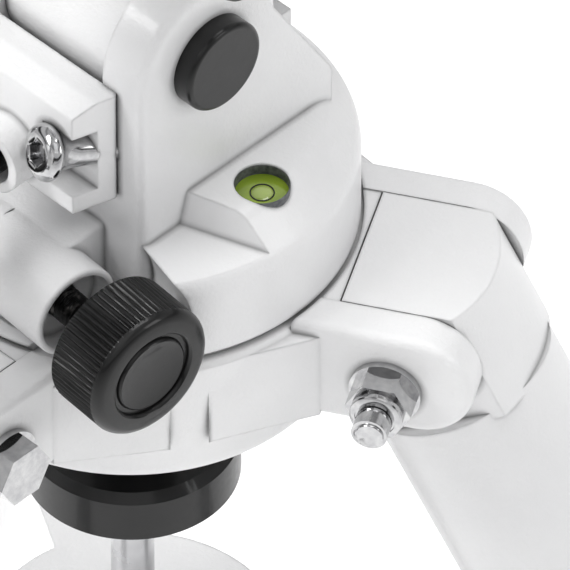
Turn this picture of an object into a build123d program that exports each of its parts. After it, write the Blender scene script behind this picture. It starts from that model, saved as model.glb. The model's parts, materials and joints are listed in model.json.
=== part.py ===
"""German equatorial mount on a folding steel tripod, millimetres, +Z up.

The casting frame used below has its zero where the azimuth axis meets the top
of the tripod hub.  -Y is north, where the polar axis points.  At the end the
whole mount is lifted onto its feet, with the origin in the middle of its box.
"""
from build123d import *
import os
from math import acos, atan2, cos, hypot, radians, sin, sqrt

os.makedirs("parts", exist_ok=True)

# ---- driving dimensions -------------------------------------------------
FIT = 0.05                 # running clearance of a shaft in its bore
GAP = 0.3                  # clearance between other moving faces
M10 = 5.0                  # radius of the large screws

# tripod hub and its clevis ears
HUB_R, HUB_FOOT_R, HUB_H = 64.0, 59.7, 44.3
HUB_CAVITY_R, HUB_PLATE, HUB_BOSS_R, HUB_BOSS_H = 50.0, 12.0, 16.0, 34.0
RECESS_R, RECESS_TOP = 57.5, -18.0
EAR_IN, EAR_T, EAR_R = 22.3, 11.2, 16.3
EAR_X, EAR_Z, EAR_ROOT = 88.0, -13.8, 54.0
HINGE_X, HINGE_Z = 80.5, -16.0
LEG_ANGLES = {"north": -90.0, "east": 30.0, "west": 150.0}
LUMP_R, LUMP_AXIS_R, LUMP_W, LUMP_TOP = 3.0, 69.6, 28.2, -2.0
WEB_X, WEB_TOP, WEB_FOOT = 64.5, 2.0, -12.0
CHEEK_X, CHEEK_BACK = 62.1, (36.0, 51.7)

# legs
SPLAY = 25.5
LEG_X, LEG_Z = 83.0, -16.5
LEG_TOP_Z, LEG_IN = 2.5, 65.0
BLOCK_W, BLOCK_EDGE, BLOCK_CROWN = 22.0, 19.5, 25.5
CAST_R, SHOULDER, CAST_END = 27.0, 21.7, 96.0
TUBE_R, TUBE_BORE, TUBE_TOP, TUBE_END = 25.4, 23.6, 58.0, 450.0
INNER_R, INNER_BORE, INNER_TOP, INNER_END = 22.2, 20.4, 110.0, 765.0
FOOT_R, FOOT_LEN = 25.0, 30.0

# clamping rod, its knob and the spreader tray
ROD_R, ROD_TOP, ROD_END = 6.0, 14.0, -352.0
TRAY_Z, TRAY_T, TRAY_REACH, TRAY_ARM_W = -166.0, 6.0, 124.2, 24.0

# azimuth base
WALL_R, RIM_R, DECK_Z, SHELF_Z = 62.5, 60.5, 39.0, 29.0
SHOULDER_R, SHOULDER_FILLET = 52.0, 7.0
NOSE_W, NOSE_Y = 20.6, -48.0
PIVOT_Y, PIVOT_Z = -4.0, 82.0
ARM_IN, ARM_OUT, ARM_FRONT, ARM_REAR = 20.5, 35.0, -29.8, 42.0
PEG_Y, PEG_R, BOLT_Z = -47.6, 6.0, 16.5
AZIMUTH_RANGE = 5.0
BOSS_R, BOSS_X, BOSS_MOUTH_R, BOSS_TILT = 13.5, 30.9, 11.7, 4.9
KNOB_R, KNOB_LEN, KNOB_RIB_LEN, KNOB_BACK = 19.65, 19.4, 16.4, 43.5
VIAL_R, VIAL_HOLE_R, VIAL_X, VIAL_Y = 7.4, 7.65, 47.0, 3.6

# altitude screws
LEVER = 28.0               # height of the screws below the pivot
TANG_R, TANG_NECK = 9.0, 5.5

# head
LATITUDE = 45.0
RA_OFFSET, RA_R, RA_LOW, RA_HIGH = 68.0, 38.0, -48.0, 75.0
SHAFT_R, SIGHT_R = 19.0, 12.0
DEC_T, DEC_R, DEC_LOW, DEC_TOP = 117.0, 33.0, -55.0, 60.0
DEC_SHAFT_R = 16.0
BAR_R, BAR_END = 10.0, -285.0
WEIGHT_R, WEIGHT_LEN, WEIGHT_V = 52.0, 80.0, -190.0

NODES = {}


# ---- helpers -------------------------------------------------------------
def rod(radius, start, end):
    """A round bar between two points."""
    start, end = Vector(*start), Vector(*end)
    bar = Cylinder(radius, (end - start).length, align=(Align.CENTER, Align.CENTER, Align.MIN))
    return Plane(origin=start, z_dir=end - start) * bar


def turned(*points):
    """A body turned about Z from (radius, height) corners."""
    outline = Polyline(*[(r, 0, z) for r, z in points], close=True)
    return revolve(make_face(outline), Axis.Z, 360)


def block(x0, x1, y0, y1, z0, z1):
    """A box between its low and high corners."""
    middle = ((x0 + x1) / 2, (y0 + y1) / 2, (z0 + z1) / 2)
    return Pos(*middle) * Box(x1 - x0, y1 - y0, z1 - z0)


def side_plate(points, x0, x1):
    """A plate with a (y, z) outline, from x0 to x1."""
    face = make_face(Polyline(*[(x0, y, z) for y, z in points], close=True))
    return extrude(face, x1 - x0, dir=(1, 0, 0))


def tangent_hull(centre_a, radius_a, centre_b, radius_b, x0, x1):
    """Two discs in a (y, z) plane and the plate that joins them."""
    (ya, za), (yb, zb) = centre_a, centre_b
    span = hypot(yb - ya, zb - za)
    heading = atan2(zb - za, yb - ya)
    spread = acos((radius_a - radius_b) / span)
    corners = []
    for side in (1, -1):
        turn = heading + side * spread
        ends = [
            (ya + radius_a * cos(turn), za + radius_a * sin(turn)),
            (yb + radius_b * cos(turn), zb + radius_b * sin(turn)),
        ]
        corners += ends if side == 1 else ends[::-1]
    discs = rod(radius_a, (x0, ya, za), (x1, ya, za)) + rod(radius_b, (x0, yb, zb), (x1, yb, zb))
    return discs + side_plate(corners, x0, x1)


def hexagon(radius, length):
    """A hexagonal bar standing on z = 0, by the radius to its corners."""
    return extrude(RegularPolygon(radius, 6), length)


def chamfered_disc(radius, length, edge):
    """A disc standing on z = 0 with both rims broken."""
    disc = Cylinder(radius, length, align=(Align.CENTER, Align.CENTER, Align.MIN))
    return chamfer(disc.edges().filter_by(GeomType.CIRCLE), edge)


def keep(name, *solids):
    NODES[name] = [solid for shape in solids for solid in shape.solids()]


# ---- tripod hub -----------------------------------------------------------
def ear(side):
    """One clevis ear in the leg's own plane; side is +1 or -1 across it."""
    inner, outer = side * EAR_IN, side * (EAR_IN + EAR_T)
    slab = Pos((EAR_ROOT + EAR_X) / 2, (inner + outer) / 2, EAR_Z) * Box(
        EAR_X - EAR_ROOT, EAR_T, 2 * EAR_R
    )
    lobe = rod(EAR_R, (EAR_X, inner, EAR_Z), (EAR_X, outer, EAR_Z))
    whole = slab + lobe
    faces = whole.faces().filter_by(Plane.XZ).sort_by(Axis.Y)
    outside = faces[-1] if side > 0 else faces[0]
    rim = [edge for edge in outside.edges() if edge.center().X > EAR_ROOT + 1]
    return fillet(rim, 2.4)


def cheek(side):
    """Wall that runs tangent from the drum out to the root of one ear."""
    edge = EAR_IN + EAR_T
    corners = [(HUB_CAVITY_R + 2, EAR_IN + 1), (CHEEK_X, EAR_IN + 1), (CHEEK_X, edge), CHEEK_BACK]
    plan = Polyline(*[(x, side * y) for x, y in corners], close=True)
    height = EAR_R - EAR_Z - 1.4
    return Pos(0, 0, EAR_Z - EAR_R) * extrude(make_face(plan), height, dir=(0, 0, 1))


def tripod_hub():
    hub = turned((0, 0), (HUB_R - 1.2, 0), (HUB_R, -1.4), (HUB_FOOT_R, -HUB_H), (0, -HUB_H))
    hub = fillet(hub.edges().group_by(Axis.Z)[0], 5.0)
    lump_x = sqrt(LUMP_AXIS_R**2 - LUMP_W**2)
    for angle in LEG_ANGLES.values():
        turn = Rot(0, 0, angle)
        hub += turn * block(HUB_CAVITY_R + 2, WEB_X, -EAR_IN - 1, EAR_IN + 1, WEB_FOOT, WEB_TOP)
        for side in (1, -1):
            lump = rod(LUMP_R, (lump_x, side * LUMP_W, -26), (lump_x, side * LUMP_W, LUMP_TOP))
            lump += Pos(lump_x, side * LUMP_W, LUMP_TOP) * Sphere(LUMP_R)
            hub += turn * (ear(side) + lump + cheek(side))
    hub -= turned(
        (HUB_BOSS_R, -HUB_PLATE),
        (HUB_CAVITY_R, -HUB_PLATE),
        (HUB_CAVITY_R, -HUB_H - 1),
        (0, -HUB_H - 1),
        (0, -HUB_BOSS_H),
        (HUB_BOSS_R, -HUB_BOSS_H),
    )
    for angle in LEG_ANGLES.values():
        recess = block(RECESS_R, HUB_R + 20, -EAR_IN, EAR_IN, -HUB_H - 1, RECESS_TOP)
        pin_hole = rod(M10, (HINGE_X, -50, HINGE_Z), (HINGE_X, 50, HINGE_Z))
        hub -= Rot(0, 0, angle) * (recess + pin_hole)
    for yaw in (-AZIMUTH_RANGE, 0, AZIMUTH_RANGE):
        for side in (1, -1):
            inward = side * radians(yaw) * -PEG_Y
            sweep = on_bolt(side, KNOB_R + 0.7, KNOB_BACK - inward - 0.7, 75)
            hub -= Rot(0, 0, yaw) * sweep
    hub -= rod(WALL_R + 0.8, (0, 0, 0), (0, 0, 20))
    hub -= rod(ROD_R + 0.4, (0, 0, -HUB_H), (0, 0, 1))
    hub -= rod(PEG_R, (0, PEG_Y, -10), (0, PEG_Y, 1))
    return hub


def hinge_bolt():
    head = Pos(HINGE_X, EAR_IN + EAR_T + 2, HINGE_Z) * Rot(-90, 0, 0) * hexagon(9.2, 6.4)
    return head + rod(M10, (HINGE_X, -51.7, HINGE_Z), (HINGE_X, EAR_IN + EAR_T + 3, HINGE_Z))


def hinge_nut():
    """A self-locking nut: flange-side hexagon and a round collar."""
    nut = hexagon(9.2, 7.0) + Pos(0, 0, 7.0) * chamfered_disc(7.3, 2.8, 0.8)
    nut = Pos(HINGE_X, -EAR_IN - EAR_T - 2, HINGE_Z) * Rot(90, 0, 0) * nut
    return nut - rod(M10, (HINGE_X, -60, HINGE_Z), (HINGE_X, 0, HINGE_Z))


def hinge_washer(side):
    start, end = side * (EAR_IN + EAR_T), side * (EAR_IN + EAR_T + 2)
    ring = rod(10.0, (HINGE_X, start, HINGE_Z), (HINGE_X, end, HINGE_Z))
    return ring - rod(M10, (HINGE_X, -60, HINGE_Z), (HINGE_X, 60, HINGE_Z))


# ---- legs ------------------------------------------------------------------
LEG_LINE = Plane(
    origin=(LEG_X, 0, LEG_Z),
    x_dir=(cos(radians(SPLAY)), 0, sin(radians(SPLAY))),
    z_dir=(sin(radians(SPLAY)), 0, -cos(radians(SPLAY))),
)


def along_leg(shape):
    """Place a shape made about Z onto the line of the leg, hinge end at zero."""
    return LEG_LINE * shape


def leg_top():
    """Casting that joins the tube to the hub: flat cheeks, then a full round."""
    crown = ThreePointArc((BLOCK_EDGE, -BLOCK_W), (BLOCK_CROWN, 0), (BLOCK_EDGE, BLOCK_W))
    belly = ThreePointArc((-BLOCK_EDGE, BLOCK_W), (-BLOCK_CROWN, 0), (-BLOCK_EDGE, -BLOCK_W))
    cheeks = [
        Line((BLOCK_EDGE, BLOCK_W), (-BLOCK_EDGE, BLOCK_W)),
        Line((-BLOCK_EDGE, -BLOCK_W), (BLOCK_EDGE, -BLOCK_W)),
    ]
    section = make_face([crown, belly] + cheeks)
    upper = along_leg(Pos(0, 0, -60) * extrude(section, 60 + SHOULDER + 2))
    upper -= block(-50, 250, -60, 60, LEG_TOP_Z, 120)
    upper -= block(-50, LEG_IN, -60, 60, -200, 120)
    upper += block(LEG_IN, LEG_X, -BLOCK_W, BLOCK_W, HINGE_Z, LEG_TOP_Z)
    lower = Cylinder(CAST_R, CAST_END - SHOULDER, align=(Align.CENTER, Align.CENTER, Align.MIN))
    lower = chamfer(lower.edges().filter_by(GeomType.CIRCLE).sort_by(Axis.Z)[-1], 1.5)
    lower = along_leg(Pos(0, 0, SHOULDER) * lower)
    casting = upper + lower
    casting -= along_leg(Pos(0, 0, TUBE_TOP) * Cylinder(
        TUBE_R, 200, align=(Align.CENTER, Align.CENTER, Align.MIN)))
    return casting - rod(M10 + FIT, (HINGE_X, -60, HINGE_Z), (HINGE_X, 60, HINGE_Z))


def pipe(outer, inner, start, end):
    tube = Cylinder(outer, end - start, align=(Align.CENTER, Align.CENTER, Align.MIN))
    bore = Cylinder(inner, end - start, align=(Align.CENTER, Align.CENTER, Align.MIN))
    return Pos(0, 0, start) * (tube - bore)


CLAMP_R, CLAMP_LEN, CLAMP_SCREW = 30.0, 46.0, TUBE_END + 4.0


def leg_clamp():
    """Collar on the lower end of the outer tube, with a boss for its screw."""
    start = TUBE_END - 26
    collar = Pos(0, 0, start) * chamfered_disc(CLAMP_R, CLAMP_LEN, 2.0)
    collar += rod(11.0, (0, 0, CLAMP_SCREW + 6), (CLAMP_R + 10, 0, CLAMP_SCREW + 6))
    collar -= pipe(TUBE_R, 0.001, start - 1, TUBE_END)
    collar -= Cylinder(INNER_R + GAP, 2000)
    collar -= rod(M10 + FIT, (INNER_R, 0, CLAMP_SCREW + 6), (80, 0, CLAMP_SCREW + 6))
    return along_leg(collar)


def clamp_knob():
    """Wing screw that pinches the inner tube through the collar."""
    x0, z = INNER_R + 1.0, CLAMP_SCREW + 6
    screw = rod(M10, (x0, 0, z), (CLAMP_R + 12, 0, z))
    hub = rod(9.0, (CLAMP_R + 12, 0, z), (CLAMP_R + 28, 0, z))
    wing = Pos(CLAMP_R + 23, 0, z) * Box(14, 46, 7)
    wing = fillet(wing.edges().filter_by(Axis.Z), 4.0)
    return along_leg(screw + hub + wing)


def foot():
    """Rubber shoe with a spherical tread, pressed over the inner tube."""
    shoe = Pos(0, 0, INNER_END - 14) * Cylinder(
        FOOT_R, FOOT_LEN, align=(Align.CENTER, Align.CENTER, Align.MIN))
    shoe = chamfer(shoe.edges().filter_by(GeomType.CIRCLE).sort_by(Axis.Z)[0], 3.0)
    shoe += Pos(0, 0, INNER_END + FOOT_LEN - 14 - 6) * Sphere(FOOT_R)
    cup = Pos(0, 0, INNER_END - 30) * Cylinder(
        INNER_R, 30, align=(Align.CENTER, Align.CENTER, Align.MIN))
    return along_leg(shoe - cup)


def make_tripod():
    turns = {name: Rot(0, 0, angle) for name, angle in LEG_ANGLES.items()}
    keep("tripod_hub", tripod_hub())
    keep("azimuth_peg", rod(PEG_R, (0, PEG_Y, -10), (0, PEG_Y, 22)))
    keep("centre_rod", rod(ROD_R, (0, 0, ROD_END), (0, 0, ROD_TOP)))
    keep("leg_hinge_bolts", *[turn * hinge_bolt() for turn in turns.values()])
    nuts = [turn * hinge_nut() for turn in turns.values()]
    washers = [turn * hinge_washer(side) for turn in turns.values() for side in (1, -1)]
    keep("leg_hinge_nuts", *nuts, *washers)
    for name, turn in turns.items():
        keep("leg_top_" + name, turn * leg_top())
        keep("upper_tube_" + name, turn * along_leg(pipe(TUBE_R, TUBE_BORE, TUBE_TOP, TUBE_END)))
        keep("leg_clamp_" + name, turn * leg_clamp())
        keep("clamp_knob_" + name, turn * clamp_knob())
        keep("lower_tube_" + name, turn * along_leg(pipe(INNER_R, INNER_BORE, INNER_TOP, INNER_END)))
        keep("foot_" + name, turn * foot())
    knob = chamfered_disc(30.0, 18.0, 2.5) + Pos(0, 0, 18) * Cylinder(
        12.0, 46.0, align=(Align.CENTER, Align.CENTER, Align.MIN))
    knob = Pos(0, 0, -HUB_BOSS_H - 64.0) * knob
    keep("centre_knob", knob - Cylinder(ROD_R + FIT, 800))
    tray = Cylinder(42.0, TRAY_T) + Cylinder(14.0, 20.0)
    for angle in LEG_ANGLES.values():
        arm = block(0, TRAY_REACH, -TRAY_ARM_W / 2, TRAY_ARM_W / 2, -TRAY_T / 2, TRAY_T / 2)
        pad = block(TRAY_REACH - 6, TRAY_REACH, -TRAY_ARM_W / 2, TRAY_ARM_W / 2, -8, TRAY_T / 2)
        tray += Rot(0, 0, angle) * (arm + pad)
    keep("spreader_tray", Pos(0, 0, TRAY_Z) * (tray - Cylinder(ROD_R + FIT, 80)))
    nut = Pos(0, 0, TRAY_Z - 10 - 16) * chamfered_disc(17.0, 16.0, 2.0)
    keep("tray_knob", nut - Cylinder(ROD_R + FIT, 800))


# ---- azimuth base -----------------------------------------------------------
def bolt_line(side):
    """Start point and outward direction of one azimuth bolt; side +1 is east."""
    tilt = radians(BOSS_TILT)
    return Vector(0, PEG_Y, BOLT_Z), Vector(side * cos(tilt), -sin(tilt), 0)


def on_bolt(side, radius, start, end):
    point, heading = bolt_line(side)
    return rod(radius, tuple(point + heading * start), tuple(point + heading * end))


def shelf_cut(side):
    """Space above the low shelf in front of the deck, bounded by a sloping step."""
    foot_in, foot_out = (ARM_OUT - 6, -17.7), (70.0, -3.5)
    top_in, top_out = (ARM_OUT - 6, -14.6), (70.0, -2.9)
    low = Polyline(foot_in, foot_out, (70.0, -80.0), (ARM_OUT - 6, -80.0), close=True)
    high = Polyline(top_in, top_out, (70.0, -80.0), (ARM_OUT - 6, -80.0), close=True)
    low = Pos(0, 0, SHELF_Z) * make_face(low)
    high = Pos(0, 0, DECK_Z + 0.02) * make_face(high)
    cut = loft([low, high])
    return cut if side > 0 else mirror(cut, Plane.YZ)


def arm(side):
    """One cheek of the fork, with its rounded head about the altitude pivot."""
    post = block(ARM_IN, ARM_OUT, ARM_FRONT, PIVOT_Y, 10, PIVOT_Z)
    outer = post.edges().filter_by(Axis.Z).group_by(Axis.Y)[0].sort_by(Axis.X)[-1]
    head_r = PIVOT_Y - ARM_FRONT
    head = rod(head_r, (ARM_IN, PIVOT_Y, PIVOT_Z), (ARM_OUT, PIVOT_Y, PIVOT_Z))
    rim = head.edges().filter_by(GeomType.CIRCLE).sort_by(Axis.X)[-1]
    brace = tangent_hull(
        (PIVOT_Y, PIVOT_Z), head_r - 4, (ARM_REAR - 5, DECK_Z + 8), 5.0, ARM_IN, ARM_OUT)
    web = [(PIVOT_Y, 10), (ARM_REAR, 10), (ARM_REAR, DECK_Z + 8), (PIVOT_Y, PIVOT_Z)]
    brace += side_plate(web, ARM_IN, ARM_OUT)
    cheek = fillet(outer, 3.2) + fillet(rim, 3.2) + brace
    return cheek if side > 0 else mirror(cheek, Plane.YZ)


def azimuth_base():
    drum = turned(
        (0, 0), (RIM_R, 0), (RIM_R, 1.8), (WALL_R, 2.8), (WALL_R, SHELF_Z - 2),
        (SHOULDER_R, DECK_Z), (0, DECK_Z),
    )
    rims = [edge for edge in drum.edges().filter_by(GeomType.CIRCLE) if edge.center().Z > 20]
    drum = fillet(rims, SHOULDER_FILLET)
    for side in (1, -1):
        drum -= shelf_cut(side)
    drum -= block(-31.2, 31.2, -80, ARM_FRONT, 2.8, 60)
    nose = block(-NOSE_W, NOSE_W, NOSE_Y, -20.0, 1.8, SHELF_Z)
    drum += fillet(nose.edges().filter_by(Axis.Y).group_by(Axis.Z)[-1], 1.2)
    for side in (1, -1):
        point, heading = bolt_line(side)
        pocket = Cone(25.2, 21.4, 26.0, align=(Align.CENTER, Align.CENTER, Align.MIN))
        pocket += Pos(0, 0, 25.99) * Cylinder(
            21.4, 30, align=(Align.CENTER, Align.CENTER, Align.MIN))
        pocket = Plane(origin=point + heading * (BOSS_X - 1.5), z_dir=heading) * pocket
        pocket += on_bolt(side, 22.2, NOSE_W - 1, BOSS_X)
        drum -= pocket - block(-NOSE_W, NOSE_W, -80, 0, 0, SHELF_Z)
        drum += arm(side)
    for side in (1, -1):
        point, heading = bolt_line(side)
        boss = Cylinder(BOSS_R, BOSS_X, align=(Align.CENTER, Align.CENTER, Align.MIN))
        boss = fillet(boss.edges().filter_by(GeomType.CIRCLE).sort_by(Axis.Z)[-1], 0.8)
        drum += Plane(origin=point, z_dir=heading) * boss
    drum += block(-ARM_IN - 1, ARM_IN + 1, 31.0, 40.0, 20.0, 62.0)
    drum -= block(-12.5, 12.5, PEG_Y - 8.5, PEG_Y + 8.5, -1, 23.0)
    for side in (1, -1):
        drum -= on_bolt(side, M10 + FIT, 0, BOSS_X + 1)
        drum -= on_bolt(side, BOSS_MOUTH_R, BOSS_X - 7, BOSS_X + 1)
    pivot_hole = rod(M10, (-60, PIVOT_Y, PIVOT_Z), (60, PIVOT_Y, PIVOT_Z))
    rear_hole = rod(M10 + FIT, (0, 20, PIVOT_Z - LEVER), (0, 50, PIVOT_Z - LEVER))
    vial_hole = rod(VIAL_HOLE_R, (VIAL_X, VIAL_Y, DECK_Z - 9), (VIAL_X, VIAL_Y, DECK_Z + 5))
    rod_hole = rod(ROD_R + FIT, (0, 0, -1), (0, 0, ROD_TOP + 2))
    screws = screw_hole(1) + screw_hole(-1)
    return drum - pivot_hole - rear_hole - vial_hole - rod_hole - screws


SCREW_SEAT = Vector(20.3, -36.3, 60.8)
SCREW_AXIS = Vector(0.258, 0.916, -0.307).normalized()
HEAD_REACH = 12.9         # screw head stands this far off its seat
NECK_R, NECK_END = 4.8, 1.5
SHANK_R, SHANK_END = 4.2, 22.0


def bridge_screw(side, radius, start, end):
    """Slanting bar between two distances from the screw's seat, into the bridge."""
    low, high = SCREW_SEAT + SCREW_AXIS * start, SCREW_SEAT + SCREW_AXIS * end
    shank = rod(radius, tuple(low), tuple(high))
    return shank if side > 0 else mirror(shank, Plane.YZ)


def screw_hole(side):
    neck = bridge_screw(side, NECK_R, -HEAD_REACH, NECK_END)
    return neck + bridge_screw(side, SHANK_R, NECK_END - 1, SHANK_END + 2)


def bridge_block():
    """Block bolted across the north face of both cheeks; it carries the screw."""
    plan = Polyline((-27, ARM_FRONT), (27, ARM_FRONT), (22.8, -43.6), (-22.8, -43.6), close=True)
    body = extrude(Pos(0, 0, 43) * make_face(plan), 37)
    roof = side_plate([(-50, 74.5), (-36, 80.2), (-50, 90)], -40, 40)
    body -= roof
    body = fillet(body.edges().filter_by(Axis.Z).group_by(Axis.Y)[-1], 1.6)
    for side in (1, -1):
        notch = block(11.8, 32, -60, SCREW_SEAT.Y, 49, 69.8)
        body -= notch if side > 0 else mirror(notch, Plane.YZ)
    body -= screw_hole(1) + screw_hole(-1)
    height = PIVOT_Z - LEVER
    body += rod(10.5, (0, -52.4, height), (0, -40, height))
    return body - rod(M10 + FIT, (0, -60, height), (0, 0, height)) - rod(
        7.4, (0, -60, height), (0, ARM_FRONT - 12, height))


def button_screw(side):
    """Button-head screw with a hexagon socket and a flared neck."""
    centre = SCREW_SEAT - SCREW_AXIS * HEAD_REACH
    crown = turned(
        (0, 9.0), (NECK_R, 9.0), (5.3, 6.6), (6.0, 4.0), (6.9, 1.8), (8.1, 0.6), (8.1, -0.6),
        (7.3, -1.6), (NECK_R, -2.6), (0, -2.8),
    )
    crown -= Pos(0, 0, -3) * hexagon(3.46, 4.0)
    crown = Plane(origin=centre, z_dir=SCREW_AXIS) * crown
    crown = crown if side > 0 else mirror(crown, Plane.YZ)
    neck = bridge_screw(side, NECK_R, -HEAD_REACH + 5, NECK_END)
    return crown + neck + bridge_screw(side, SHANK_R, NECK_END - 1, SHANK_END)


def azimuth_bolt(side):
    tip = PEG_R + GAP
    return on_bolt(side, M10, tip + 3, KNOB_BACK + 13) + on_bolt(side, 3.5, tip, tip + 3)


def azimuth_knob(side):
    """Knob with a bevelled nose, a ring groove and a raised centre disc."""
    point, heading = bolt_line(side)
    body = turned(
        (0, 0), (KNOB_R - 0.8, 0), (KNOB_R, 0.8), (KNOB_R, KNOB_RIB_LEN),
        (KNOB_R - 0.7, KNOB_RIB_LEN + 1.4), (KNOB_R - 2.8, KNOB_LEN), (13.4, KNOB_LEN),
        (12.8, KNOB_LEN - 1.6), (11.2, KNOB_LEN - 1.6), (10.8, KNOB_LEN - 0.7),
        (0, KNOB_LEN - 0.7),
    )
    body -= Pos(0, 0, -1) * Cylinder(M10 + FIT, 14.5, align=(Align.CENTER, Align.CENTER, Align.MIN))
    return Plane(origin=point + heading * KNOB_BACK, z_dir=heading) * body


def altitude_bolt(side):
    """Altitude screw on the north (-1) or south (+1) side of the tang."""
    tip = PIVOT_Y + side * (TANG_R + 0.25)
    end = -92.0 if side < 0 else 86.0
    height = PIVOT_Z - LEVER
    return rod(M10, (0, tip + side * 1.5, height), (0, end - side * 9, height)) + rod(
        3.6, (0, tip, height), (0, tip + side * 1.5, height))


def altitude_handle(side):
    """Tee handle turning with its screw."""
    end = -92.0 if side < 0 else 86.0
    height = PIVOT_Z - LEVER
    hub = rod(9.0, (0, end - side * 18, height), (0, end, height))
    hub += rod(4.0, (-22, end - side * 6, height), (22, end - side * 6, height))
    return hub - rod(M10 + FIT, (0, end - side * 19, height), (0, end - side * 8.8, height))


def make_base():
    keep("azimuth_base", azimuth_base())
    keep("bridge_block", bridge_block())
    keep("bridge_screws", button_screw(1), button_screw(-1))
    for side, name in ((1, "east"), (-1, "west")):
        keep("azimuth_bolt_" + name, azimuth_bolt(side))
        keep("azimuth_knob_" + name, azimuth_knob(side))
    for side, name in ((-1, "north"), (1, "south")):
        keep("altitude_bolt_" + name, altitude_bolt(side))
        keep("altitude_handle_" + name, altitude_handle(side))
    keep("level_vial", rod(VIAL_R, (VIAL_X, VIAL_Y, DECK_Z - 9), (VIAL_X, VIAL_Y, DECK_Z - 3.6)))
    keep("pivot_bolt", rod(M10, (-ARM_OUT - 3, PIVOT_Y, PIVOT_Z), (ARM_OUT + 3, PIVOT_Y, PIVOT_Z)))
    caps = []
    for side in (1, -1):
        cap = rod(13.5, (side * ARM_OUT, PIVOT_Y, PIVOT_Z), (side * (ARM_OUT + 6), PIVOT_Y, PIVOT_Z))
        cap = fillet(cap.edges().filter_by(GeomType.CIRCLE).sort_by(Axis.X)[-1 if side > 0 else 0], 1.5)
        caps.append(cap - rod(M10, (-ARM_OUT - 3, PIVOT_Y, PIVOT_Z), (ARM_OUT + 3, PIVOT_Y, PIVOT_Z)))
    keep("pivot_caps", *caps)


# ---- head ---------------------------------------------------------------------
POLE = Vector(0, -cos(radians(LATITUDE)), sin(radians(LATITUDE)))
UP = Vector(0, sin(radians(LATITUDE)), cos(radians(LATITUDE)))
PIVOT = Vector(0, PIVOT_Y, PIVOT_Z)
RA_FRAME = Plane(origin=PIVOT + UP * RA_OFFSET, x_dir=(1, 0, 0), z_dir=POLE)
DEC_FRAME = Plane(origin=PIVOT + UP * RA_OFFSET + POLE * DEC_T, x_dir=(1, 0, 0), z_dir=UP)
# Both frames have local x to the east.  Local y is +UP in RA_FRAME and -POLE in DEC_FRAME.

WHEEL_T0, WHEEL_T1, WHEEL_R = 44.0, 52.0, 29.5
WORM_R, WORM_CASE_R = 5.5, 11.0
DEC_WHEEL_V0, DEC_WHEEL_V1, DEC_WHEEL_R = 28.0, 36.0, 25.0


def tube(radius, start, end):
    """A disc about Z between two heights."""
    return Pos(0, 0, start) * Cylinder(
        radius, end - start, align=(Align.CENTER, Align.CENTER, Align.MIN))


def worm_parts(wheel_radius, height, offset_sign, half):
    """Case, worm, cavity and hand knob of a slow-motion drive along local x."""
    y = offset_sign * (wheel_radius + WORM_R + GAP)
    case = rod(WORM_CASE_R, (-half, y, height), (half, y, height))
    bore = rod(WORM_R + 1.2, (-half + 5, y, height), (half - 5, y, height))
    bore += rod(3.0 + FIT, (-half - 1, y, height), (half + 1, y, height))
    worm = rod(WORM_R, (-half + 8, y, height), (half - 8, y, height))
    worm += rod(3.0, (-half - 2, y, height), (half + 20, y, height))
    knob = rod(11.0, (half + 4, y, height), (half + 22, y, height))
    knob -= rod(3.0, (half, y, height), (half + 20, y, height))
    return case, bore, worm, knob


def clutch_lever(x, height):
    """Clamping lever on a short screw that points along local x."""
    boss = rod(7.0, (x + GAP, 0, height), (x + 11, 0, height))
    handle = rod(4.0, (x + 7, 0, height), (x + 12, 32, height))
    return boss + handle + Pos(x + 12, 32, height) * Sphere(5.5)


def make_polar_axis():
    housing = chamfer(tube(RA_R, RA_LOW, 58).edges(), 2.0) + tube(34.0, 57, RA_HIGH)
    case, bore, worm, knob = worm_parts(WHEEL_R, (WHEEL_T0 + WHEEL_T1) / 2, -1, 40.0)
    housing = RA_FRAME * (housing + case)
    centre = (PIVOT_Y + UP.Y * (RA_OFFSET - 20), PIVOT_Z + UP.Z * (RA_OFFSET - 20))
    lug = tangent_hull((PIVOT_Y, PIVOT_Z), 22.0, centre, 30.0, -ARM_IN + GAP, ARM_IN - GAP)
    tang = block(
        -ARM_IN + GAP, ARM_IN - GAP, PIVOT_Y - TANG_NECK, PIVOT_Y + TANG_NECK,
        PIVOT_Z - LEVER, PIVOT_Z)
    tang_z = PIVOT_Z - LEVER
    tang += rod(TANG_R, (-ARM_IN + GAP, PIVOT_Y, tang_z), (ARM_IN - GAP, PIVOT_Y, tang_z))
    housing += lug + tang
    wheel_room = tube(WHEEL_R + 0.8, WHEEL_T0 - 0.6, WHEEL_T1 + 0.6)
    housing -= RA_FRAME * (tube(SHAFT_R, -100, 100) + wheel_room + bore)
    housing -= rod(M10 + FIT, (-60, PIVOT_Y, PIVOT_Z), (60, PIVOT_Y, PIVOT_Z))
    keep("polar_housing", housing)
    shaft = tube(SHAFT_R - FIT, RA_LOW - 4, RA_HIGH + 1) + tube(36.0, RA_HIGH + 0.5, RA_HIGH + 6)
    keep("ra_shaft", RA_FRAME * (shaft - tube(SIGHT_R, -100, 100)))
    wheel = tube(WHEEL_R, WHEEL_T0, WHEEL_T1) - tube(SHAFT_R - FIT, -100, 100)
    keep("ra_wheel", RA_FRAME * wheel)
    keep("ra_worm", RA_FRAME * worm)
    keep("ra_knob", RA_FRAME * knob)
    circle = tube(42.0, 60.0, 72.0) - tube(34.0 + GAP, -100, 100)
    keep("ra_circle", RA_FRAME * circle)
    keep("ra_clutch", RA_FRAME * clutch_lever(RA_R, 14.0))


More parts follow.
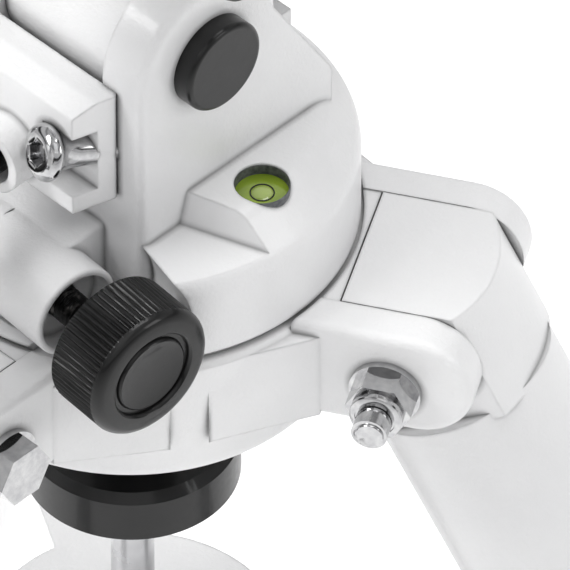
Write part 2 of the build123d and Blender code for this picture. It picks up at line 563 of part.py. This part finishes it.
def make_declination_axis():
    housing = chamfer(tube(DEC_R, DEC_LOW, 46).edges(), 2.0) + tube(29.0, 45, DEC_TOP)
    case, bore, worm, knob = worm_parts(DEC_WHEEL_R, (DEC_WHEEL_V0 + DEC_WHEEL_V1) / 2, -1, 36.0)
    neck = rod(30.0, (0, DEC_T - RA_HIGH - 6, 0), (0, 0, 0))
    housing = housing + case + neck
    wheel_room = tube(DEC_WHEEL_R + 0.8, DEC_WHEEL_V0 - 0.6, DEC_WHEEL_V1 + 0.6)
    housing -= tube(DEC_SHAFT_R, -36, 100) + wheel_room + bore
    housing -= tube(BAR_R, DEC_LOW - 1, -44)
    keep("dec_housing", DEC_FRAME * housing)
    shaft = tube(DEC_SHAFT_R - FIT, -34, DEC_TOP + 1) + tube(30.0, DEC_TOP + 0.5, DEC_TOP + 6)
    keep("dec_shaft", DEC_FRAME * shaft)
    wheel = tube(DEC_WHEEL_R, DEC_WHEEL_V0, DEC_WHEEL_V1) - tube(DEC_SHAFT_R - FIT, -99, 99)
    keep("dec_wheel", DEC_FRAME * wheel)
    keep("dec_worm", DEC_FRAME * worm)
    keep("dec_knob", DEC_FRAME * knob)
    circle = tube(37.0, 48.0, 58.0) - tube(29.0 + GAP, -100, 100)
    keep("dec_circle", DEC_FRAME * circle)
    keep("dec_clutch", DEC_FRAME * clutch_lever(DEC_R, 8.0))


SADDLE_BASE, SADDLE_W, SADDLE_L, SADDLE_H = DEC_TOP + 6.0, 78.0, 90.0, 24.0
SLOT_TOP_W, SLOT_FLOOR_W, SLOT_DEPTH = 45.0, 54.0, 16.0


def saddle():
    """Clamping shoe with a dovetail slot that runs along the optical axis."""
    body = Pos(0, 0, SADDLE_BASE + SADDLE_H / 2) * Box(SADDLE_W, SADDLE_L, SADDLE_H)
    body = fillet(body.edges().filter_by(Axis.Z), 4.0)
    top, floor = SADDLE_BASE + SADDLE_H, SADDLE_BASE + SADDLE_H - SLOT_DEPTH
    slot = Polyline(
        (-SLOT_FLOOR_W / 2, -60, floor), (SLOT_FLOOR_W / 2, -60, floor),
        (SLOT_TOP_W / 2, -60, top + 0.01), (-SLOT_TOP_W / 2, -60, top + 0.01), close=True)
    body -= extrude(make_face(slot), 120, dir=(0, 1, 0))
    height = top - SLOT_DEPTH / 2
    return body - rod(4.0 + FIT, (SLOT_TOP_W / 2 - 4, 0, height), (SADDLE_W, 0, height))


def make_top():
    height = SADDLE_BASE + SADDLE_H - SLOT_DEPTH / 2
    keep("saddle", DEC_FRAME * saddle())
    screw = rod(4.0, (27.0, 0, height), (48, 0, height)) + rod(14.0, (46, 0, height), (62, 0, height))
    keep("saddle_screw", DEC_FRAME * screw)
    keep("counterweight_bar", DEC_FRAME * tube(BAR_R, BAR_END, -44))
    low, high = WEIGHT_V - WEIGHT_LEN / 2, WEIGHT_V + WEIGHT_LEN / 2
    weight = chamfer(tube(WEIGHT_R, low, high).edges(), 3.0) - tube(BAR_R + FIT, -400, 0)
    screw_hole = rod(5.0 + FIT, (BAR_R, 0, WEIGHT_V), (WEIGHT_R + 9, 0, WEIGHT_V))
    keep("counterweight", DEC_FRAME * (weight - screw_hole))
    screw = rod(5.0, (BAR_R + 0.6, 0, WEIGHT_V), (WEIGHT_R + 6, 0, WEIGHT_V))
    screw += rod(12.0, (WEIGHT_R + 5, 0, WEIGHT_V), (WEIGHT_R + 20, 0, WEIGHT_V))
    keep("counterweight_screw", DEC_FRAME * screw)
    keep("toe_saver", DEC_FRAME * (tube(15.0, BAR_END - 6, BAR_END)))


make_tripod()
make_base()
make_polar_axis()
make_declination_axis()
make_top()

# ---- stand the mount on the floor and write it ----------------------------------
WHOLE = Compound([solid for solids in NODES.values() for solid in solids]).bounding_box()
SHIFT = Vector(-WHOLE.center().X, -WHOLE.center().Y, -WHOLE.min.Z)
for node, solids in NODES.items():
    placed = [Pos(SHIFT) * solid for solid in solids]
    export_step(placed[0] if len(placed) == 1 else Compound(placed), f"parts/{node}.step")
print(len(NODES), "nodes; origin shift", SHIFT, "size", WHOLE.size)
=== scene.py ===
"""Looks for the equatorial mount: materials, fine hardware and soft-edged castings
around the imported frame.  Everything is in metres, in the frame's own coordinates."""

import json
import math

import bmesh
import bpy
from mathutils import Matrix, Vector


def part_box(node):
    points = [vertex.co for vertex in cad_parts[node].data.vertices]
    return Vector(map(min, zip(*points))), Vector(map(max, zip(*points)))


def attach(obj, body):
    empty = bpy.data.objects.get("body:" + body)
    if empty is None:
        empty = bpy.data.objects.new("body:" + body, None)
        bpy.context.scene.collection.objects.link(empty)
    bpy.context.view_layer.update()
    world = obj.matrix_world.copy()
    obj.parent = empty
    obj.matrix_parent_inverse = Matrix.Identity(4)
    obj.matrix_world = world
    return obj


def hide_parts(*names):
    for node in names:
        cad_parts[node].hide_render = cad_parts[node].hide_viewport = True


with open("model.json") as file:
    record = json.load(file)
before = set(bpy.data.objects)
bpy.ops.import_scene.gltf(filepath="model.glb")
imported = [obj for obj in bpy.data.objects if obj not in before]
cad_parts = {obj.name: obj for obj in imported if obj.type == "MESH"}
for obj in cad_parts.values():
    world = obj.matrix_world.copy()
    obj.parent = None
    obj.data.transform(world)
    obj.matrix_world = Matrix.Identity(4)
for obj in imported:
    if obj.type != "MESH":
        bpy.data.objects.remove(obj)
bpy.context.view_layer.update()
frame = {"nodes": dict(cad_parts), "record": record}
NODE = frame["nodes"]
MM = 0.001

# ---- measures in millimetres, from the middle of the joint under the azimuth base ----
IMAGE_SIZE = 570           # pixels along the square image
FLOOR_R = 7.0              # metres

LEG_ANGLES = (-90, 30, 150)
HINGE_X, HINGE_Z, NUT_FACE = 80.5, -16.0, 44.2

PEG_Y, BOLT_Z, BOLT_TILT = -47.6, 16.5, 4.9
BOLT_R, BOLT_TIP, BOLT_THREAD, BOLT_IN_KNOB = 4.97, 6.3, 9.3, 13
KNOB_BACK, KNOB_R, KNOB_LEN, RIB_END, RIBS = 43.5, 19.65, 19.4, 16.4, 66

VIAL, SPIRIT_TOP = (47.0, 3.6, 39.0), -3.6

SCREW_SEAT, SCREW_AXIS, HEAD_REACH = (20.3, -36.3, 60.8), (0.258, 0.916, -0.307), 12.9
NECK_R, SHANK_R, SHANK_START, SHANK_END = 4.8, 4.2, 14.4, 34.9

LATITUDE = math.radians(45)
PIVOT, RA_OFFSET, DEC_OFFSET = (0, -4.0, 82.0), 68, 117


# ---- places worked out from the frame ---------------------------------------
ROD = sum(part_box("centre_rod"), Vector((0, 0, 0))) / 2
DATUM = Vector((ROD.x, ROD.y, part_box("azimuth_base")[0].z))


def at(x, y, z):
    """A point given in millimetres from the centre of the joint under the azimuth base."""
    return DATUM + Vector((x, y, z)) * MM


# ---- camera -------------------------------------------------------------------
def make_camera():
    """Close view down onto the azimuth base from the north-east."""
    pitch = math.radians(43.7)
    level = Vector((-1, 1, 0)).normalized()
    right = Vector((1, 1, 0)).normalized()
    look = level * math.cos(pitch) + Vector((0, 0, -math.sin(pitch)))
    up = right.cross(look)
    distance, pixels_per_metre = 5.0, 3700.0
    target = DATUM + right * 0.0419 - up * 0.0203
    data = bpy.data.cameras.new("camera")
    data.sensor_width = 36.0
    data.lens = data.sensor_width * pixels_per_metre * distance / IMAGE_SIZE
    data.clip_end = 400.0
    camera = bpy.data.objects.new("camera", data)
    turn = Matrix((right, up, -look)).transposed().to_4x4()
    camera.matrix_world = Matrix.Translation(target - look * distance) @ turn
    bpy.context.scene.collection.objects.link(camera)
    bpy.context.scene.camera = camera
    return right, look, target


RIGHT, LOOK, TARGET = make_camera()


# ---- studio ----------------------------------------------------------------------
def area_light(name, offset, size, power):
    """A soft square light placed by (right, up, toward camera) metres from the target."""
    data = bpy.data.lights.new(name, "AREA")
    data.shape = "SQUARE"
    data.size = size
    data.energy = power
    light = bpy.data.objects.new(name, data)
    place = TARGET + RIGHT * offset[0] + Vector((0, 0, 1)) * offset[1] - LOOK * offset[2]
    light.location = place
    light.rotation_euler = (TARGET - place).to_track_quat("-Z", "Y").to_euler()
    bpy.context.scene.collection.objects.link(light)


def make_world():
    """A pale sky with a dark band, which gives polished metal something to show."""
    world = bpy.data.worlds.new("studio")
    world.use_nodes = True
    tree = world.node_tree
    coords = tree.nodes.new("ShaderNodeTexCoord")
    split = tree.nodes.new("ShaderNodeSeparateXYZ")
    sky = tree.nodes.new("ShaderNodeValToRGB")
    pale_and_dark = ((0.35, 0.9), (0.55, 0.9), (0.57, 0.05), (0.64, 0.04))
    overhead = ((0.67, 1.0), (0.8, 0.9), (0.83, 0.3), (0.9, 0.75))
    for place, grey in pale_and_dark + overhead:
        stop = sky.color_ramp.elements.new(place)
        stop.color = (grey, grey, grey * 1.01, 1)
    half = tree.nodes.new("ShaderNodeMath")
    half.operation = "MULTIPLY_ADD"
    half.inputs[1].default_value = 0.5
    half.inputs[2].default_value = 0.5
    tree.links.new(coords.outputs["Generated"], split.inputs["Vector"])
    tree.links.new(split.outputs["Z"], half.inputs[0])
    tree.links.new(half.outputs["Value"], sky.inputs["Fac"])
    tree.links.new(sky.outputs["Color"], tree.nodes["Background"].inputs["Color"])
    tree.nodes["Background"].inputs["Strength"].default_value = 0.74
    bpy.context.scene.world = world


def make_studio():
    area_light("key", (-1.5, 1.3, 0.4), 0.9, 30.0)
    area_light("top", (0.3, 2.1, -0.3), 1.0, 13.0)
    area_light("right_fill", (1.9, 0.4, 0.9), 0.8, 6.0)
    area_light("front_fill", (0.0, 0.6, 2.2), 1.6, 5.0)
    floor_mesh = bpy.data.meshes.new("floor")
    shape = bmesh.new()
    bmesh.ops.create_circle(shape, cap_ends=True, segments=96, radius=FLOOR_R)
    shape.to_mesh(floor_mesh)
    shape.free()
    floor = bpy.data.objects.new("floor", floor_mesh)
    bpy.context.scene.collection.objects.link(floor)
    floor.data.materials.append(floor_material())
    bpy.context.scene.view_settings.view_transform = "Standard"


# ---- material helpers ----------------------------------------------------------------
class Shader:
    """A Principled material with short calls for the nodes used here."""

    def __init__(self, name):
        self.material = bpy.data.materials.new(name)
        self.material.use_nodes = True
        self.tree = self.material.node_tree
        self.main = self.tree.nodes["Principled BSDF"]
        self.coords = self.tree.nodes.new("ShaderNodeTexCoord")

    def set(self, **values):
        for key, value in values.items():
            self.main.inputs[key.replace("_", " ")].default_value = value
        return self

    def node(self, kind, **settings):
        made = self.tree.nodes.new("ShaderNode" + kind)
        for key, value in settings.items():
            setattr(made, key, value)
        return made

    def link(self, source, target):
        self.tree.links.new(source, target)

    def noise(self, scale, detail=3.0, rough=0.5, stretch=None):
        made = self.node("TexNoise")
        made.inputs["Scale"].default_value = scale
        made.inputs["Detail"].default_value = detail
        made.inputs["Roughness"].default_value = rough
        source = self.coords.outputs["Object"]
        if stretch:
            mapping = self.node("Mapping")
            mapping.inputs["Scale"].default_value = stretch
            self.link(source, mapping.inputs["Vector"])
            source = mapping.outputs["Vector"]
        self.link(source, made.inputs["Vector"])
        return made.outputs["Fac"]

    def ramp(self, source, low, high, start=0.3, end=0.7):
        made = self.node("ValToRGB")
        made.color_ramp.elements[0].position = start
        made.color_ramp.elements[1].position = end
        made.color_ramp.elements[0].color = low
        made.color_ramp.elements[1].color = high
        self.link(source, made.inputs["Fac"])
        return made.outputs["Color"]

    def span(self, source, low, high):
        made = self.node("MapRange")
        made.inputs["To Min"].default_value = low
        made.inputs["To Max"].default_value = high
        self.link(source, made.inputs["Value"])
        return made.outputs["Result"]

    def colour(self, source):
        self.link(source, self.main.inputs["Base Color"])

    def roughness(self, source, low, high):
        self.link(self.span(source, low, high), self.main.inputs["Roughness"])

    def bumps(self, *layers, soft=0.0):
        """Stacked bumps over edges rounded by soft metres; a layer is (height, strength, distance)."""
        normal = None
        if soft:
            edge = self.node("Bevel", samples=4)
            edge.inputs["Radius"].default_value = soft
            normal = edge.outputs["Normal"]
        for source, strength, distance in layers:
            made = self.node("Bump")
            made.inputs["Strength"].default_value = strength
            made.inputs["Distance"].default_value = distance
            self.link(source, made.inputs["Height"])
            if normal:
                self.link(normal, made.inputs["Normal"])
            normal = made.outputs["Normal"]
        self.link(normal, self.main.inputs["Normal"])
        return self


def floor_material():
    """Plain pale floor."""
    paint = Shader("pale_floor").set(Roughness=0.9)
    tone = paint.ramp(paint.noise(3.0), (0.93, 0.93, 0.93, 1), (0.95, 0.95, 0.95, 1))
    paint.colour(tone)
    paint.link(tone, paint.main.inputs["Emission Color"])
    paint.set(Emission_Strength=0.36)
    return paint.material


def white_casting():
    """Gloss white powder coat over a sand casting: orange peel, soft unevenness and painted shade
    darkening its recesses and creases.
    """
    paint = Shader("white_casting_paint").set(Coat_Weight=0.25, Coat_Roughness=0.12)
    tone = paint.ramp(paint.noise(22.0), (0.80, 0.80, 0.805, 1), (0.86, 0.86, 0.86, 1))
    # painted shade: the ambient occlusion node darkens the paint colour in recesses, creases and seams
    # between parts
    painted_hollow_shade = paint.node("AmbientOcclusion", samples=4)
    painted_hollow_shade.inputs["Distance"].default_value = 0.0022
    paint.link(tone, painted_hollow_shade.inputs["Color"])
    paint.colour(painted_hollow_shade.outputs["Color"])
    paint.roughness(paint.noise(260.0), 0.26, 0.40)
    return paint.bumps(
        (paint.noise(240.0, 2.0), 0.55, 0.00030),
        (paint.noise(900.0, 3.0, 0.6), 0.75, 0.00024),
        soft=0.0014,
    ).material


def white_tube():
    """Smooth gloss white paint on the leg tubes."""
    paint = Shader("white_tube_paint").set(Coat_Weight=0.4, Coat_Roughness=0.06)
    tone = paint.ramp(paint.noise(9.0), (0.82, 0.82, 0.825, 1), (0.85, 0.85, 0.85, 1))
    paint.colour(tone)
    paint.roughness(paint.noise(90.0), 0.20, 0.30)
    return paint.bumps((paint.noise(420.0, 2.0), 0.18, 0.00008)).material


def black_knob():
    """Moulded black knob plastic, satin with a fine grain."""
    plastic = Shader("black_knob_plastic").set(Coat_Weight=0.35, Coat_Roughness=0.08)
    plastic.set(Specular_IOR_Level=0.22)
    tone = plastic.ramp(plastic.noise(60.0), (0.002, 0.002, 0.002, 1), (0.006, 0.006, 0.006, 1))
    plastic.colour(tone)
    plastic.roughness(plastic.noise(500.0), 0.30, 0.46)
    return plastic.bumps((plastic.noise(1800.0), 0.25, 0.00004)).material


def black_steel():
    """Oil-blackened steel with rubbed high spots."""
    steel = Shader("black_oxide_steel").set(Metallic=0.85)
    dark, rubbed = (0.012, 0.012, 0.012, 1), (0.22, 0.21, 0.20, 1)
    tone = steel.ramp(steel.noise(420.0, 6.0), dark, rubbed, 0.52, 0.85)
    steel.colour(tone)
    steel.roughness(steel.noise(600.0), 0.28, 0.5)
    return steel.bumps((steel.noise(1500.0), 0.3, 0.00004)).material


def bright_steel():
    """Polished stainless fasteners with faint handling haze."""
    steel = Shader("bright_stainless").set(Metallic=1.0)
    tone = steel.ramp(steel.noise(420.0), (0.44, 0.44, 0.45, 1), (0.58, 0.58, 0.58, 1))
    steel.colour(tone)
    steel.roughness(steel.noise(240.0, 5.0), 0.06, 0.18)
    return steel.bumps((steel.noise(900.0), 0.05, 0.00002)).material


def turned_steel():
    """Machined steel, brushed round by the lathe."""
    steel = Shader("turned_steel").set(Metallic=1.0)
    tone = steel.ramp(steel.noise(70.0), (0.46, 0.46, 0.47, 1), (0.60, 0.60, 0.61, 1))
    steel.colour(tone)
    steel.roughness(steel.noise(180.0), 0.22, 0.30)
    return steel.bumps((steel.noise(500.0, 2.0, 0.5, (1, 1, 14)), 0.05, 0.00002)).material


def satin_aluminium():
    """Bead-blasted aluminium."""
    metal = Shader("satin_aluminium").set(Metallic=1.0)
    tone = metal.ramp(metal.noise(50.0), (0.66, 0.66, 0.67, 1), (0.76, 0.76, 0.77, 1))
    metal.colour(tone)
    metal.roughness(metal.noise(400.0), 0.30, 0.42)
    return metal.bumps((metal.noise(1400.0), 0.2, 0.00003)).material


def bronze():
    """Worm wheel bronze, slightly tarnished."""
    metal = Shader("worm_wheel_bronze").set(Metallic=1.0)
    tone = metal.ramp(metal.noise(80.0), (0.45, 0.28, 0.12, 1), (0.62, 0.42, 0.20, 1))
    metal.colour(tone)
    metal.roughness(metal.noise(300.0), 0.25, 0.4)
    return metal.bumps((metal.noise(900.0), 0.2, 0.00004)).material


def foot_rubber():
    """Matt black rubber, scuffed."""
    rubber = Shader("foot_rubber").set(Specular_IOR_Level=0.3)
    tone = rubber.ramp(rubber.noise(120.0), (0.018, 0.018, 0.018, 1), (0.035, 0.034, 0.033, 1))
    rubber.colour(tone)
    rubber.roughness(rubber.noise(300.0), 0.65, 0.85)
    return rubber.bumps((rubber.noise(1000.0, 5.0), 0.5, 0.00012)).material


def vial_fluid():
    """Yellow-green spirit under a clear cover, with a faint painted glow."""
    fluid = Shader("vial_fluid").set(Coat_Weight=1.0, Coat_Roughness=0.03, Roughness=0.25)
    tone = fluid.ramp(fluid.noise(90.0, 0.0), (0.13, 0.20, 0.012, 1), (0.30, 0.42, 0.03, 1))
    fluid.colour(tone)
    # painted light: the faint green emission makes the spirit glow
    return fluid.set(Emission_Color=(0.24, 0.36, 0.02, 1), Emission_Strength=0.06).material


def clear_bubble():
    """The bubble, seen as a paler lens in the spirit."""
    lens = Shader("vial_bubble").set(Roughness=0.08, Coat_Weight=1.0)
    tone = lens.ramp(lens.noise(120.0, 0.0), (0.30, 0.40, 0.08, 1), (0.46, 0.58, 0.16, 1))
    lens.colour(tone)
    return lens.material


def ink():
    """Matt black marking paint, slightly uneven."""
    paint = Shader("marking_paint").set(Roughness=0.6)
    tone = paint.ramp(paint.noise(400.0), (0.008, 0.008, 0.008, 1), (0.022, 0.022, 0.022, 1))
    paint.colour(tone)
    return paint.bumps((paint.noise(900.0), 0.2, 0.00003)).material


def vial_cup():
    """Dark grey moulded cup that holds the vial."""
    plastic = Shader("vial_cup_plastic").set(Roughness=0.5)
    tone = plastic.ramp(plastic.noise(700.0), (0.045, 0.05, 0.055, 1), (0.15, 0.155, 0.16, 1))
    plastic.colour(tone)
    return plastic.bumps((plastic.noise(900.0), 0.3, 0.00008)).material


MATERIALS = {
    "white_casting": white_casting(),
    "white_tube": white_tube(),
    "black_knob": black_knob(),
    "black_metal": black_steel(),
    "bright_steel": bright_steel(),
    "machined": turned_steel(),
    "silver": satin_aluminium(),
    "vial_green": vial_fluid(),
    "bronze": bronze(),
    "foot_rubber": foot_rubber(),
}
SLOT_OF = {item["node"]: item["material_slot"] for item in frame["record"]["subparts"]}


def dress_cad_nodes():
    """Give every CAD node the material of its slot in the record."""
    for name, item in NODE.items():
        material = MATERIALS[SLOT_OF[name]]
        if item.material_slots:
            for slot in item.material_slots:
                slot.material = material
        else:
            item.data.materials.append(material)


# ---- fine hardware -----------------------------------------------------------------
def axis_frame(start, heading):
    """A placement whose Z points along heading from start."""
    z = heading.normalized()
    aside = Vector((0, 0, 1)) if abs(z.z) < 0.9 else Vector((1, 0, 0))
    x = aside.cross(z).normalized()
    return Matrix.Translation(start) @ Matrix((x, z.cross(x), z)).transposed().to_4x4()


def skin(rings, segments):
    """Faces of a stack of rings of points, closed at both ends."""
    faces = []
    for ring in range(rings - 1):
        for i in range(segments):
            a, b = ring * segments + i, ring * segments + (i + 1) % segments
            faces.append((a, b, b + segments, a + segments))
    last = (rings - 1) * segments
    faces.append(tuple(range(segments))[::-1])
    faces.append(tuple(range(last, last + segments)))
    return faces


def lathe(profile, segments=96, ribs=0, depth=0.0, ribbed=(0.0, 0.0)):
    """(vertices, faces) of a body turned about Z; ribs are cut between two heights."""
    points = []
    for radius, z in profile:
        for i in range(segments):
            turn = 2 * math.pi * i / segments
            cut = depth * (0.5 - 0.5 * math.cos(ribs * turn)) if ribbed[0] <= z <= ribbed[1] else 0
            points.append(((radius - cut) * math.cos(turn), (radius - cut) * math.sin(turn), z))
    return points, skin(len(profile), segments)


def open_lathe(profile, segments):
    """A turned surface without its two end caps."""
    points, faces = lathe(profile, segments)
    return points, faces[:-2]


def screw_thread(radius, length, pitch=1.5, depth=0.8, segments=36):
    """(vertices, faces) of a threaded bar standing on z = 0, its last turns slimmer."""
    steps = int(length / pitch * 8)
    points = []
    for j in range(steps + 1):
        z = j * length / steps
        worn = min(1.0, 0.80 + (length - z) / 5.0)
        for i in range(segments):
            phase = (z / pitch - i / segments) % 1.0
            r = (radius - depth * min(1.0, abs(2 * phase - 1) * 1.3)) * worn
            turn = 2 * math.pi * i / segments
            points.append((r * math.cos(turn), r * math.sin(turn), z))
    return points, skin(steps + 1, segments)


def placed(shape, place):
    """The shape moved, still in millimetres."""
    points, faces = shape
    return [tuple(place @ Vector(point)) for point in points], faces


def piece(name, shape, place, material, body, replaces=()):
    """Make a mesh given in millimetres, put it in place and hang it on its body."""
    points, faces = shape
    mesh = bpy.data.meshes.new(name)
    mesh.from_pydata([place @ (Vector(p) * MM) for p in points], [], faces)
    mesh.update()
    mesh.shade_smooth()
    mesh.set_sharp_from_angle(angle=math.radians(38))
    mesh.materials.append(material)
    made = bpy.data.objects.new(name, mesh)
    bpy.context.scene.collection.objects.link(made)
    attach(made, body)
    if replaces:
        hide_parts(*replaces)


def joined(*shapes):
    """Several shapes as one."""
    points, faces = [], []
    for more_points, more_faces in shapes:
        base = len(points)
        points += more_points
        faces += [tuple(index + base for index in face) for face in more_faces]
    return points, faces


def bolt_heading(side):
    """Outward direction of an azimuth screw; side +1 is east."""
    tilt = math.radians(BOLT_TILT)
    return Vector((side * math.cos(tilt), -math.sin(tilt), 0))


def azimuth_hardware():
    """Ribbed knobs with a dished centre, and the threaded screws behind them."""
    knob = lathe(
        [(5.2, 0), (KNOB_R - 0.9, 0), (KNOB_R - 0.25, 0.25), (KNOB_R, 0.8), (KNOB_R, RIB_END),
         (KNOB_R - 0.02, RIB_END + 0.25), (KNOB_R - 0.25, RIB_END + 1.0), (KNOB_R - 0.8, RIB_END + 1.9),
         (KNOB_R - 1.7, RIB_END + 2.6), (KNOB_R - 2.8, KNOB_LEN), (13.5, KNOB_LEN),
         (13.0, KNOB_LEN - 0.4), (12.7, KNOB_LEN - 1.5), (11.5, KNOB_LEN - 1.5),
         (11.2, KNOB_LEN - 0.7), (10.7, KNOB_LEN - 0.35), (10.0, KNOB_LEN - 0.5),
         (7.0, KNOB_LEN - 0.95), (3.0, KNOB_LEN - 1.15), (0.2, KNOB_LEN - 1.2)],
        segments=RIBS * 10, ribs=RIBS, depth=0.85, ribbed=(0.7, RIB_END),
    )
    for side, name in ((1, "east"), (-1, "west")):
        heading = bolt_heading(side)
        start = at(0, PEG_Y, BOLT_Z)
        piece("ribbed_knob_" + name, knob, axis_frame(start + heading * KNOB_BACK * MM, heading),
              MATERIALS["black_knob"], "azimuth_knob_" + name,
              ("azimuth_knob_" + name,))
        tip = lathe([(2.6, BOLT_TIP), (3.4, BOLT_TIP + 0.6), (3.5, BOLT_THREAD)], 40)
        thread = screw_thread(BOLT_R, KNOB_BACK + BOLT_IN_KNOB - BOLT_THREAD)
        bolt = joined(tip, placed(thread, Matrix.Translation((0, 0, BOLT_THREAD))))
        piece("threaded_screw_" + name, bolt, axis_frame(start, heading),
              MATERIALS["black_metal"], "azimuth_bolt_" + name,
              ("azimuth_bolt_" + name,))


def vial_details():
    """Cup, target ring and bubble of the level."""
    place = axis_frame(at(*VIAL), Vector((0, 0, 1)))
    top = SPIRIT_TOP
    cup = open_lathe([(7.42, -8.9), (7.62, -8.9), (7.62, -0.5), (7.42, -0.5), (7.42, -8.9)], 72)
    piece("vial_cup", cup, place, vial_cup(), "base")
    ring = open_lathe([(3.05, top), (3.05, top + 0.18), (3.4, top + 0.18), (3.4, top)], 72)
    piece("vial_ring", ring, place, ink(), "base")
    dome = [(2.95, top), (2.8, top + 0.1), (2.2, top + 0.28), (1.2, top + 0.4), (0.1, top + 0.44)]
    piece("vial_bubble", lathe(dome, 48), place, clear_bubble(), "base")


def button_head():
    """(vertices, faces) of a domed screw whose hexagon socket opens towards -z."""
    socket = [(3.3, 1.2), (3.3, -2.5)]
    face_and_rim = [
        (3.9, -2.8), (5.0, -2.85), (6.1, -2.5), (7.1, -1.8), (7.8, -0.9), (8.05, 0.0),
        (7.95, 0.6), (7.4, 1.3), (6.5, 2.4), (5.8, 3.9), (5.2, 5.9), (4.85, 8.2),
    ]
    shank = [(NECK_R, SHANK_START), (SHANK_R, SHANK_START), (SHANK_R, SHANK_END)]
    segments, sixth = 96, math.radians(60)
    points, faces = lathe(socket + face_and_rim + shank, segments)
    for index in range(len(socket) * segments):
        x, y, z = points[index]
        stretch = math.cos(math.atan2(y, x) % sixth - sixth / 2)
        points[index] = (x / stretch, y / stretch, z)
    return points, faces


def bridge_screws():
    """The two polished button-head screws of the bridge block."""
    heads = []
    for side in (1, -1):
        mirrored = Vector((side, 1, 1))
        axis = (mirrored * Vector(SCREW_AXIS)).normalized()
        place = axis_frame(mirrored * Vector(SCREW_SEAT) - axis * HEAD_REACH, axis)
        heads.append(placed(button_head(), place))
    piece("button_screws", joined(*heads), Matrix.Translation(DATUM), MATERIALS["bright_steel"],
          "base", ("bridge_screws",))


def hinge_threads():
    """Threaded bolt ends that stand out of the self-locking nuts."""
    outward = Vector((0, -1, 0))
    collar = [(5.1, 0), (6.3, 0), (7.2, 0.9), (7.2, 1.0), (6.3, 1.4), (5.6, 1.4)]
    bars = []
    for degrees in LEG_ANGLES:
        turn = Matrix.Rotation(math.radians(degrees), 4, "Z")
        thread_place = turn @ axis_frame(Vector((HINGE_X, 0.2 - NUT_FACE, HINGE_Z)), outward)
        collar_place = turn @ axis_frame(Vector((HINGE_X, -NUT_FACE, HINGE_Z)), outward)
        bars.append(placed(screw_thread(5.0, 8.3), thread_place))
        bars.append(placed(open_lathe(collar, 64), collar_place))
    piece("hinge_threads", joined(*bars), Matrix.Translation(DATUM), MATERIALS["bright_steel"],
          "hub")


def graduations():
    """Tick marks round the two setting circles."""
    up = Vector((0, math.sin(LATITUDE), math.cos(LATITUDE)))
    pole = Vector((0, -math.cos(LATITUDE), math.sin(LATITUDE)))
    pivot = at(*PIVOT)
    circles = (
        ("ra_circle", pivot + up * RA_OFFSET * MM, pole, 42.0, 61.0),
        ("dec_circle", pivot + (up * RA_OFFSET + pole * DEC_OFFSET) * MM, up, 37.0, 49.0),
    )
    count, long_each, half_width = 72, 6, 0.16
    sides = [(0, 1, 3, 2), (4, 6, 7, 5), (0, 4, 5, 1), (2, 3, 7, 6), (0, 2, 6, 4), (1, 5, 7, 3)]
    for body, origin, axis, radius, foot in circles:
        ticks = []
        for index in range(count):
            top = foot + (5.0 if index % long_each == 0 else 2.8)
            corners = [
                (radius + step, width, z)
                for step in (-0.3, 0.06)
                for width in (-half_width, half_width)
                for z in (foot, top)
            ]
            turn = Matrix.Rotation(2 * math.pi * index / count, 4, "Z")
            ticks.append(placed((corners, sides), turn))
        piece(body + "_ticks", joined(*ticks), axis_frame(origin, axis), ink(), body)


def round_knobs():
    """Fluted grips for the slow motions and the clamping screws, each in its CAD node's box."""
    for node, body, head in (
        ("ra_knob", "ra_drive", 18.0),
        ("dec_knob", "dec_drive", 18.0),
        ("saddle_screw", "saddle_screw", 16.0),
        ("counterweight_screw", "counterweight_screw", 15.0),
    ):
        low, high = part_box(node)
        radius = (high.z - low.z) / 2 / MM
        length = (high.x - low.x) / MM
        start = Vector((low.x, (low.y + high.y) / 2, (low.z + high.z) / 2))
        back = length - head
        stem = [(4.0, 0), (4.0, back)] if back > 1 else [(3.1, 0)]
        grip = [
            (radius - 1.0, back), (radius, back + 0.9), (radius, length - 2.4),
            (radius - 0.05, length - 2.2), (radius - 0.5, length - 0.9), (radius - 1.6, length),
            (radius * 0.6, length), (radius * 0.56, length - 0.7), (0.2, length - 0.9),
        ]
        flutes = 30
        shape = lathe(stem + grip, flutes * 10, flutes, 0.7, (back + 0.8, length - 2.3))
        piece("fluted_" + node, shape, axis_frame(start, Vector((1, 0, 0))),
              MATERIALS["black_knob"], body, (node,))


make_world()
make_studio()
dress_cad_nodes()
azimuth_hardware()
vial_details()
bridge_screws()
hinge_threads()
graduations()
round_knobs()
